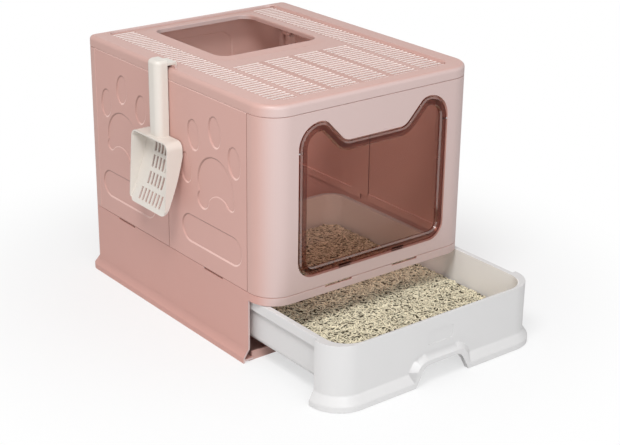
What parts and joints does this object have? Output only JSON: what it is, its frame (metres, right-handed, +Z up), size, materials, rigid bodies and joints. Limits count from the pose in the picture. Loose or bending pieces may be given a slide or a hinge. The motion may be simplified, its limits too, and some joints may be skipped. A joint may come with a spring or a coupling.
{
  "type": "covered litter box",
  "caption": "Folding covered cat litter box with a pull-out litter drawer, an eared swinging flap, hinged side walls, a grated lift-off lid with a top opening, and a hung scoop.",
  "frame": {"origin": "on the floor, at the centre of the closed box's footprint", "axes": "+X to the right seen from the front, +Y to the back, +Z up"},
  "size_m": [0.4497, 0.678, 0.429],
  "materials": {
    "body_plastic": "dusty pink moulded plastic, satin",
    "drawer_plastic": "off-white moulded plastic, satin",
    "litter": "cream pressed plant-fibre pellets",
    "clear_tint": "see-through tinted plastic, polished",
    "scoop_plastic": "ivory moulded plastic, satin",
    "pin_steel": "drawn steel rod",
    "magnet": "dark sintered magnet"
  },
  "bodies": {
    "base": {"base_shell": "body_plastic", "floor_panel": "body_plastic", "front_panel": "body_plastic", "back_panel": "body_plastic", "left_front_hinge_pin": "pin_steel", "left_rear_hinge_pin": "pin_steel", "right_front_hinge_pin": "pin_steel", "right_rear_hinge_pin": "pin_steel", "left_flap_pin": "pin_steel", "right_flap_pin": "pin_steel", "sill_magnets": "magnet"},
    "drawer": {"litter_drawer": "drawer_plastic", "litter_bed": "litter"},
    "flap": {"flap_door": "clear_tint", "flap_magnets": "magnet"},
    "lid": {"lid_frame": "body_plastic", "lid_front_grille": "body_plastic", "lid_left_grille": "body_plastic", "lid_right_grille": "body_plastic"},
    "scoop": {"scoop": "scoop_plastic"},
    "left_front_leaf": {"left_front_leaf": "body_plastic"},
    "left_rear_leaf": {"left_rear_leaf": "body_plastic"},
    "right_front_leaf": {"right_front_leaf": "body_plastic"},
    "right_rear_leaf": {"right_rear_leaf": "body_plastic"}
  },
  "joints": [
    {"name": "drawer_slide", "type": "slide", "parent": "base", "child": "drawer", "axis": [0, -1, 0], "range_m": [-0.16, 0.2]},
    {"name": "flap_hinge", "type": "hinge", "parent": "base", "child": "flap", "pos_m": [0, -0.2482, 0.3372], "axis": [-1, 0, 0], "range_deg": [-80, 80]},
    {"name": "lid_lift", "type": "slide", "parent": "base", "child": "lid", "axis": [0, 0, 1], "range_m": [0, 0.15]},
    {"name": "scoop_lift", "type": "slide", "parent": "lid", "child": "scoop", "axis": [0, 0, 1], "range_m": [0, 0.1]},
    {"name": "left_rear_leaf_hinge", "type": "hinge", "parent": "base", "child": "left_rear_leaf", "pos_m": [-0.193, 0.222, 0.25], "axis": [0, 0, 1], "range_deg": [0, 90]},
    {"name": "left_front_leaf_hinge", "type": "hinge", "parent": "base", "child": "left_front_leaf", "pos_m": [-0.193, -0.194, 0.25], "axis": [0, 0, -1], "range_deg": [0, 90]},
    {"name": "right_rear_leaf_hinge", "type": "hinge", "parent": "base", "child": "right_rear_leaf", "pos_m": [0.193, 0.222, 0.25], "axis": [0, 0, -1], "range_deg": [0, 86]},
    {"name": "right_front_leaf_hinge", "type": "hinge", "parent": "base", "child": "right_front_leaf", "pos_m": [0.193, -0.194, 0.25], "axis": [0, 0, 1], "range_deg": [0, 86]}
  ],
  "couplings": [
    {"joint": "left_front_leaf_hinge", "follows": "left_rear_leaf_hinge", "ratio": 1},
    {"joint": "right_front_leaf_hinge", "follows": "right_rear_leaf_hinge", "ratio": 1}
  ]
}
